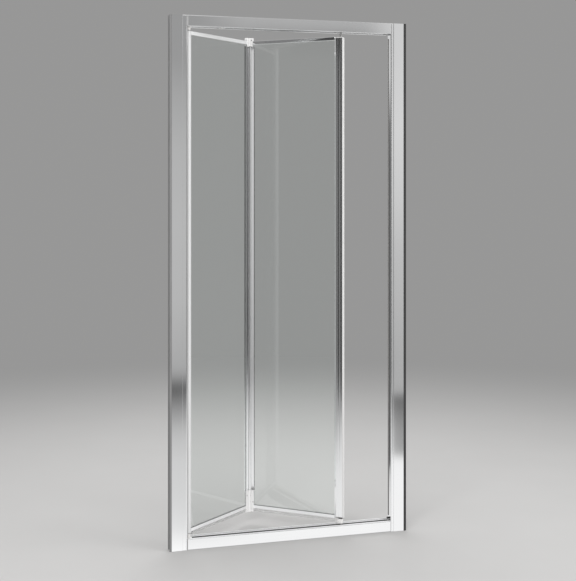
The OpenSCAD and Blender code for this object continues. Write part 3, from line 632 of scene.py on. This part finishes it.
# %% Assign finishes to the frame's solids
BY_SLOT = {
    "wall_rubber": wall_rubber, "frame_aluminium": frame_upright, "leaf_aluminium": stile_bright,
    "glass": clear_glass, "grey_plastic": grey_plastic, "white_nylon": white_nylon,
    "cap_nylon": cap_nylon, "magnet_white": magnet_white, "magnet_grey": magnet_grey,
    "dark_rubber": dark_rubber, "gasket": gasket_vinyl, "clear_seal": wiper_1_clear,
    "steel": plain_steel,
}
BY_NODE = {
    "head_rail": frame_rail, "sill_rail": frame_rail,
    "top_rail_1": rail_1_satin, "bottom_rail_1": rail_1_satin,
    "top_rail_2": rail_2_bright, "bottom_rail_2": rail_2_satin,
    "bottom_seal_2": wiper_2_clear, "pivot_stile": pivot_satin, "wall_seal_left": wall_seal_painted_shade_left,
    "pivot_jamb_seal": grey_plastic,
}
slot_of = {row["node"]: row["material_slot"] for row in frame["record"]["subparts"]}
body_of = {node: body for body, nodes in frame["record"]["behaviour"]["bodies"].items()
           for node in nodes}
finish_of = {node: BY_NODE.get(node, BY_SLOT[slot_of[node]]) for node in frame["nodes"]}
for node, solid in frame["nodes"].items():
    solid.data.materials.clear()
    solid.data.materials.append(finish_of[node])
print("finished", len(finish_of), "solids")

# %% [markdown]
# ## Tools of the modelling bench
# Every new piece ends the same way: its faces are smooth except across sharp corners, its normals
# lean towards the large flat faces so that a narrow rounding catches a clean highlight, and it
# rides on the body of the solid that it stands for.

# %% Finish a piece
SHARP = math.radians(34)
WELD_MM = 0.002
SLIVER_MM = 0.001
FLAT = math.radians(0.3)


def place_piece(name, bm, like, finishes=None):
    """Makes an object of the mesh. It stands for the CAD node `like` and rides as that does."""
    for face in bm.faces:
        face.smooth = True
    for edge in bm.edges:
        edge.smooth = len(edge.link_faces) == 2 and edge.calc_face_angle() < SHARP
    mesh = bpy.data.meshes.new(name)
    bm.to_mesh(mesh)
    bm.free()
    piece = bpy.data.objects.new(name, mesh)
    scene.collection.objects.link(piece)
    for finish in finishes or [finish_of[like]]:
        mesh.materials.append(finish)
    even = piece.modifiers.new("even_normals", "WEIGHTED_NORMAL")
    even.keep_sharp = True
    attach(piece, body_of[like])
    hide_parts(like)
    print(f"{name}: {len(mesh.polygons)} faces")
    return piece


def merged_copy(node):
    """The CAD solid's mesh with its loose triangles joined and its flat faces made whole."""
    bm = bmesh.new()
    bm.from_mesh(frame["nodes"][node].data)
    bmesh.ops.remove_doubles(bm, verts=bm.verts[:], dist=WELD_MM * MM)
    bmesh.ops.dissolve_degenerate(bm, edges=bm.edges[:], dist=SLIVER_MM * MM)
    bmesh.ops.dissolve_limit(bm, angle_limit=FLAT, verts=bm.verts[:], edges=bm.edges[:])
    return bm


def add_part(whole, part):
    """Adds one mesh to another as a loose part of the same piece."""
    carrier = bpy.data.meshes.new("carrier")
    part.to_mesh(carrier)
    part.free()
    whole.from_mesh(carrier)
    bpy.data.meshes.remove(carrier)


print("bench tools ready")

# %% [markdown]
# ## Extruded bars with rounded corners
# No real extrusion has a knife-sharp corner. The die is cut with a corner radius of a few tenths
# of a millimetre, and that is what draws the thin bright lines along every profile in the
# photograph. The bar's solid is copied, the corners that run along the bar are found by their
# direction, and only these are bevelled: the sawn ends of a real bar stay sharp.

# %% Round the long corners of a bar
SHORTEST_MM = 4
WIDE_MM = 1.5
CORNER_DEG = 50
BEND_DEG = 4
PARALLEL = 0.9999


def is_corner(edge, run):
    """A convex corner along the bar, or a shallow bend between two wide faces."""
    along = edge.verts[1].co - edge.verts[0].co
    if len(edge.link_faces) != 2 or along.length < SHORTEST_MM * MM or not edge.is_convex:
        return False
    if abs(along.normalized().dot(run)) < PARALLEL:
        return False
    narrower = min(face.calc_area() for face in edge.link_faces) / along.length
    angle = math.degrees(edge.calc_face_angle())
    return angle > CORNER_DEG or (angle > BEND_DEG and narrower > WIDE_MM * MM)


def bevelled(bm, edges, offset_mm, segments):
    bmesh.ops.bevel(bm, geom=edges, offset=offset_mm * MM, offset_type="OFFSET", segments=segments,
                    profile=0.5, affect="EDGES", clamp_overlap=True, material=-1)


def rounded(node, ending, is_rounded, radius_mm, extra=(), pick=None):
    """A copy of the solid with some edges rounded. The function pick chooses each face's finish:
    0 for the node's own, or the number of one of the extra ones."""
    bm = merged_copy(node)
    bevelled(bm, [edge for edge in bm.edges if is_rounded(edge)], radius_mm, segments=3)
    for face in bm.faces if pick else ():
        face.material_index = pick(face, face.calc_center_median() / MM)
    return place_piece(node + ending, bm, node, [finish_of[node], *extra])


def rounded_bar(node, run, radius_mm, extra=(), pick=None):
    return rounded(node, "_bar", lambda edge: is_corner(edge, run), radius_mm, extra, pick)


print("bars are rounded at corners over", CORNER_DEG, "degrees")

# %% [markdown]
# ## Bars with two or three finishes
# The head and the sill are one channel, but in the photograph the sill's slot is dark, the head's
# slot is pale, and the sill's lands beside the slot are paler than its front. So the sill's slot
# gets painted shade, and the head's slot and the sill's lands get painted light. Each bottom rail
# has a dark band along its top edge, where the glass goes in. A bar stays one piece all the same:
# each of its faces gets its finish by where the middle of the face lies, in millimetres.

# %% Choose a finish by place
SLOT_HALF = 8.4
SLOT_FROM, SLOT_TO = 12, 38
LAND_FROM, LAND_TO = 36, 41
DARK_TOP_FROM, DARK_TOP_TO = 69, 75
LIES_FLAT, LEANS_UP = 0.7, 0.3


def slot_shade_or_land_light(face, spot):
    """1, painted shade, in the sill's slot; 2, painted light, in the head's slot and on the sill's
    lands.
    """
    if abs(spot.y) < SLOT_HALF and SLOT_FROM < min(spot.z, DOOR_H - spot.z) < SLOT_TO:
        return 1 if spot.z < SLOT_TO else 2
    return 2 if face.normal.z > LIES_FLAT and LAND_FROM < spot.z < LAND_TO else 0


# A dark band on the top faces of each bottom rail, in the dark rubber finish.
def rail_or_dark_top(face, spot):
    """1, dark, on the top edge of a bottom rail."""
    return int(face.normal.z > LEANS_UP and DARK_TOP_FROM < spot.z < DARK_TOP_TO)


print("the slot's own finish goes from", SLOT_FROM, "to", SLOT_TO, "mm")

# %% Round all the bars
Z_RUN = Vector((0, 0, 1))
X_RUN = Vector((1, 0, 0))
LEAF_1_RUN = (LEAF_1.to_3x3() @ X_RUN).normalized()
LEAF_2_RUN = (LEAF_2.to_3x3() @ X_RUN).normalized()

for node in ("wall_profile_left", "wall_profile_right", "jamb_left", "jamb_right"):
    rounded_bar(node, Z_RUN, 0.3)
for node in ("head_rail", "sill_rail"):
    rounded_bar(node, X_RUN, 0.4, [slot_painted_shade, land_painted_light], slot_shade_or_land_light)
for node in ("pivot_stile", "fold_stile_1", "fold_stile_2", "leading_stile"):
    rounded_bar(node, Z_RUN, 0.3)
for node in ("wall_seal_left", "wall_seal_right", "leaf_magnet_strip", "jamb_magnet_strip"):
    rounded_bar(node, Z_RUN, 0.4)
for node, run in (("top_rail_1", LEAF_1_RUN), ("bottom_rail_1", LEAF_1_RUN),
                  ("top_rail_2", LEAF_2_RUN), ("bottom_rail_2", LEAF_2_RUN)):
    rounded_bar(node, run, 0.35, [dark_rubber], rail_or_dark_top)

# %% [markdown]
# ## Moulded caps and blocks
# A mould gives larger roundings than a die, about half a millimetre on every outer edge. Here all
# sharp outer edges are bevelled, not only those of one direction. The lower guide block has
# painted shade round its neck: a dark band where the neck sits in shadow between the block and
# the stile, as at the leading stile's foot in the photograph.

# %% Round the moulded parts
MOULD_RADIUS = 0.5
SHADE_FROM, SHADE_TO = 58.2, 63.8


def is_outer(edge):
    """A sharp convex edge in any direction."""
    return (len(edge.link_faces) == 2 and edge.is_convex
            and edge.calc_face_angle() > math.radians(CORNER_DEG))


def neck_painted_shade(face, spot):
    """1, painted shade, in the band round the neck."""
    return int(SHADE_FROM < spot.z < SHADE_TO)


for node in ("hinge_cap_bottom_1", "hinge_cap_top_1", "hinge_cap_bottom_2", "hinge_cap_top_2",
             "pivot_block_bottom", "pivot_block_top", "track_stop",
             "profile_cap_left", "profile_cap_right"):
    rounded(node, "_moulding", is_outer, MOULD_RADIUS)
rounded("guide_block_bottom", "_moulding", is_outer, MOULD_RADIUS, [dark_rubber], neck_painted_shade)

# %% [markdown]
# ## Glass panels
# Each panel is one sheet with arrised edges: the grinder takes a 45 degree strip off every arris
# so that nobody is cut. A cube is stretched to the sheet's size, its twelve edges get a flat
# bevel, and every face that isn't one of the two large ones takes the green edge finish. A real
# sheet hardly darkens what is behind it, but the renderer's glass would, so the sheets cast no
# shadow.

# %% Glass sheets
GLASS_HALF = 2.5
GLASS_FROM, GLASS_TO = 65, 1839
ARRIS_MM = 0.6
FACES_OUT = 0.99


def stretched_cube(low, high):
    """A box between two corners, in millimetres."""
    bm = bmesh.new()
    low, high = Vector(low) * MM, Vector(high) * MM
    size = Matrix.Diagonal((*(high - low), 1))
    bmesh.ops.create_cube(bm, size=1.0, matrix=Matrix.Translation((low + high) / 2) @ size)
    return bm


def glass_sheet(node, leaf, u0, u1):
    bm = stretched_cube((u0, -GLASS_HALF, GLASS_FROM), (u1, GLASS_HALF, GLASS_TO))
    bevelled(bm, bm.edges[:], ARRIS_MM, segments=1)
    for face in bm.faces:
        face.material_index = 0 if abs(face.normal.y) > FACES_OUT else 1
    bmesh.ops.transform(bm, matrix=leaf, verts=bm.verts[:])
    sheet = place_piece(node + "_sheet", bm, node, [clear_glass, glass_edge])
    sheet.visible_shadow = False
    return sheet


glass_sheet("glass_1", LEAF_1, 4.6, 357.1)
glass_sheet("glass_2", LEAF_2, 10.0, 355.6)

# %% [markdown]
# ## Wipers under the leaves
# A wiper hangs from the groove in each bottom rail: a thin blade, two pairs of drip fins that
# droop a little, and a hollow bulb that brushes over the sill. Boxes make the blade and fins,
# with the outer edge of each fin let down, and a circle run along the leaf makes the bulb.

# %% Wiper seals
BLADE_HALF = 0.7
BLADE_FROM, BLADE_TO = 44.9, 60.2
FIN_ROOT, FIN_BEND, FIN_TIP = 0.5, 2, 2.6
FIN_LEVELS = (48.2, 53.2)
FIN_THICK, FIN_DROOP = 0.6, 0.8
BULB_LEVEL, BULB_RADIUS, BULB_WALL = 43.4, 1.8, 0.6


def drip_fin(u0, u1, z, side):
    near, far = sorted((FIN_ROOT * side, FIN_TIP * side))
    fin = stretched_cube((u0, near, z), (u1, far, z + FIN_THICK))
    tips = [v for v in fin.verts if abs(v.co.y) > FIN_BEND * MM]
    bmesh.ops.translate(fin, verts=tips, vec=(0, 0, -FIN_DROOP * MM))
    return fin


def hollow_bulb(u0, u1):
    bulb = bmesh.new()
    end_on = moved(u0, 0, BULB_LEVEL) @ Matrix.Rotation(math.radians(90), 4, "Y")
    bmesh.ops.create_circle(bulb, cap_ends=True, segments=24, radius=BULB_RADIUS * MM,
                            matrix=end_on)
    ring = bmesh.ops.inset_region(bulb, faces=bulb.faces[:], thickness=BULB_WALL * MM)["faces"]
    disc = [face for face in bulb.faces if face not in ring]
    bmesh.ops.delete(bulb, geom=disc, context="FACES_ONLY")
    out = bmesh.ops.extrude_face_region(bulb, geom=bulb.faces[:])
    far_end = [v for v in out["geom"] if isinstance(v, bmesh.types.BMVert)]
    bmesh.ops.translate(bulb, verts=far_end, vec=((u1 - u0) * MM, 0, 0))
    bmesh.ops.recalc_face_normals(bulb, faces=bulb.faces[:])
    return bulb


def wiper_seal(node, leaf, u0, u1):
    whole = bmesh.new()
    add_part(whole, stretched_cube((u0, -BLADE_HALF, BLADE_FROM), (u1, BLADE_HALF, BLADE_TO)))
    for z in FIN_LEVELS:
        for side in (-1, 1):
            add_part(whole, drip_fin(u0, u1, z, side))
    add_part(whole, hollow_bulb(u0, u1))
    bmesh.ops.transform(whole, matrix=leaf, verts=whole.verts[:])
    seal = place_piece(node + "_wiper", whole, node)
    seal.visible_shadow = False
    return seal


wiper_seal("bottom_seal_1", LEAF_1, 14.5, 349.1)
wiper_seal("bottom_seal_2", LEAF_2, 18.0, 347.6)

# %% [markdown]
# ## Turned pieces
# Screws, rollers, bumpers and covers are round, so each is one section of points, spun about its
# axis. The section is given as radius and height in millimetres. A section that starts and ends
# on the axis closes itself, and one that returns to its first point makes a ring.

# %% Spin a section
TURN_STEPS = 48


def turned(section, place, ring=False):
    bm = bmesh.new()
    points = [bm.verts.new((r * MM, 0, z * MM)) for r, z in section]
    pairs = list(zip(points, points[1:])) + ([(points[-1], points[0])] if ring else [])
    edges = [bm.edges.new(pair) for pair in pairs]
    bmesh.ops.spin(bm, geom=points + edges, cent=(0, 0, 0), axis=(0, 0, 1), dvec=(0, 0, 0),
                   angle=2 * math.pi, steps=TURN_STEPS, use_merge=True)
    bmesh.ops.remove_doubles(bm, verts=bm.verts[:], dist=SLIVER_MM * MM)
    bmesh.ops.transform(bm, matrix=place, verts=bm.verts[:])
    bmesh.ops.recalc_face_normals(bm, faces=bm.faces[:])
    return bm


TO_FRONT = Matrix.Rotation(math.radians(90), 4, "X")
TO_BACK = Matrix.Rotation(math.radians(-90), 4, "X")
TO_LEFT = Matrix.Rotation(math.radians(-90), 4, "Y")
print("a turned piece has", TURN_STEPS, "steps round its axis")

# %% [markdown]
# ## Cap screws
# Button-head screws hold the hinge caps to the stiles. The head is spun as a dome with a sunken
# middle, and then the ring of the socket is pushed out onto a hexagon. In the photograph they are
# the small dark dots on the caps. Two small grub screws sit in the barrel of leaf 1's lower cap.

# %% Button-head screws
SCREW_HEAD = [(0, -3), (1.4, -3), (1.4, 0), (2.3, 0), (2.3, 0.3), (2.2, 0.55), (1.95, 0.8),
              (1.6, 0.97), (1.4, 1.0), (1.25, 0.95), (1.25, 0.3), (0, 0.2)]
SOCKET_RADIUS, SOCKET_FLAT = 1.25, 1.2
GRUB = [(0, 0), (1.6, 0), (1.6, 1.3), (1.3, 1.6), (0.9, 1.6), (0.9, 0.6), (0, 0.5)]
GRUB_OUT = 2.52
GRUB_LEVELS = (82, 105)


def hexagon_reach(angle, flat_mm):
    """Distance from the middle to the side of a hexagon, in the direction of an angle."""
    return flat_mm / math.cos((angle % math.radians(60)) - math.radians(30))


def button_screw(place):
    bm = turned(SCREW_HEAD, Matrix.Identity(4))
    for vert in bm.verts:
        radius = math.hypot(vert.co.x, vert.co.y)
        if vert.co.z > 0.1 * MM and abs(radius - SOCKET_RADIUS * MM) < 0.01 * MM:
            reach = hexagon_reach(math.atan2(vert.co.y, vert.co.x), SOCKET_FLAT)
            vert.co.x *= reach / SOCKET_RADIUS
            vert.co.y *= reach / SOCKET_RADIUS
    bmesh.ops.transform(bm, matrix=place, verts=bm.verts[:])
    return bm


print("a screw's head is", 2 * SCREW_HEAD[3][0], "mm across")

# %% Screws of the hinge caps
TOP_LEVEL = DOOR_H - 50
CAP_SCREWS = {
    "hinge_cap_screws_1": [LEAF_1 @ moved(FOLD_U - 17, -HALF_T, 108) @ TO_FRONT,
                           LEAF_1 @ moved(FOLD_U - 15, 0, TOP_LEVEL) @ TO_LEFT],
    "hinge_cap_screws_2": [LEAF_2 @ moved(14.2, -HALF_T, 82) @ TO_FRONT,
                           LEAF_2 @ moved(8.8, -HALF_T, TOP_LEVEL) @ TO_FRONT],
}
for node, places in CAP_SCREWS.items():
    screws = bmesh.new()
    for place in places:
        add_part(screws, button_screw(place))
    if node == "hinge_cap_screws_1":
        for z in GRUB_LEVELS:
            place = LEAF_1 @ moved(FOLD_U, -HALF_T - GRUB_OUT, z) @ TO_FRONT
            add_part(screws, turned(GRUB, place))
    place_piece(node + "_heads", screws, node)

# %% [markdown]
# ## Guide rollers
# A roller of white nylon runs in the slot of each rail, on a steel bush. Its tread is slightly
# crowned so that it doesn't dig in at its edges, and both sides are dished.

# %% Rollers with their bushes
TREAD = [(3.9, 0.3), (3.9, 11.7), (5.0, 12.0), (5.4, 11.4), (6.4, 11.4), (6.7, 12.0), (7.2, 11.8),
         (7.75, 11.0), (7.95, 8.5), (8.0, 6.0), (7.95, 3.5), (7.75, 1.0), (7.2, 0.2), (6.7, 0.0),
         (6.4, 0.6), (5.4, 0.6), (5.0, 0.0)]
BUSH = [(2.55, 0.0), (2.55, 12.0), (3.6, 12.0), (3.9, 11.7), (3.9, 0.3), (3.6, 0.0)]
ROLLER_LEVEL = 17.5
for node, flip in (("guide_roller_bottom", Matrix.Identity(4)), ("guide_roller_top", AT_HEAD)):
    place = flip @ LEAF_2 @ moved(FOLD_U, 0, ROLLER_LEVEL)
    roller = turned(TREAD, place, ring=True)
    bush = turned(BUSH, place, ring=True)
    for face in bush.faces:
        face.material_index = 1
    add_part(roller, bush)
    place_piece(node + "_turned", roller, node, [white_nylon, plain_steel])

# %% [markdown]
# ## Bumper and covers
# A rubber bumper on the right jamb catches the closing leaf, and six snap-on covers hide the
# adjusting screws on the backs of the wall profiles. Both are domes with a groove or a rim, spun
# and pointed out of the face that carries them.

# %% Bumper and screw covers
BUMPER = [(0, 0), (4.0, 0), (4.0, 1.2), (3.55, 1.5), (3.55, 2.1), (4.0, 2.4), (4.0, 5.0),
          (3.85, 6.1), (3.4, 7.0), (2.6, 7.6), (1.4, 7.93), (0, 8.0)]
BUMPER_PLACE = (388, -2, 46.5)
bumper = turned(BUMPER, moved(*BUMPER_PLACE) @ TO_LEFT)
place_piece("closing_bumper_dome", bumper, "closing_bumper")

COVER = [(0, 2.4), (3.8, 2.4), (3.8, 0), (5.5, 0), (5.5, 0.9), (5.2, 1.15), (5.0, 1.2), (5.0, 2.4),
         (4.8, 3.1), (4.3, 3.6), (3.4, 3.88), (1.8, 4.0), (0, 4.0)]
COVER_X, COVER_Y, COVER_Z = (-416, 413), 11, (150, 950, 1750)
covers = bmesh.new()
for x in COVER_X:
    for z in COVER_Z:
        add_part(covers, turned(COVER, moved(x, COVER_Y, z) @ TO_BACK))
place_piece("adjusting_screw_caps_covers", covers, "adjusting_screw_caps")
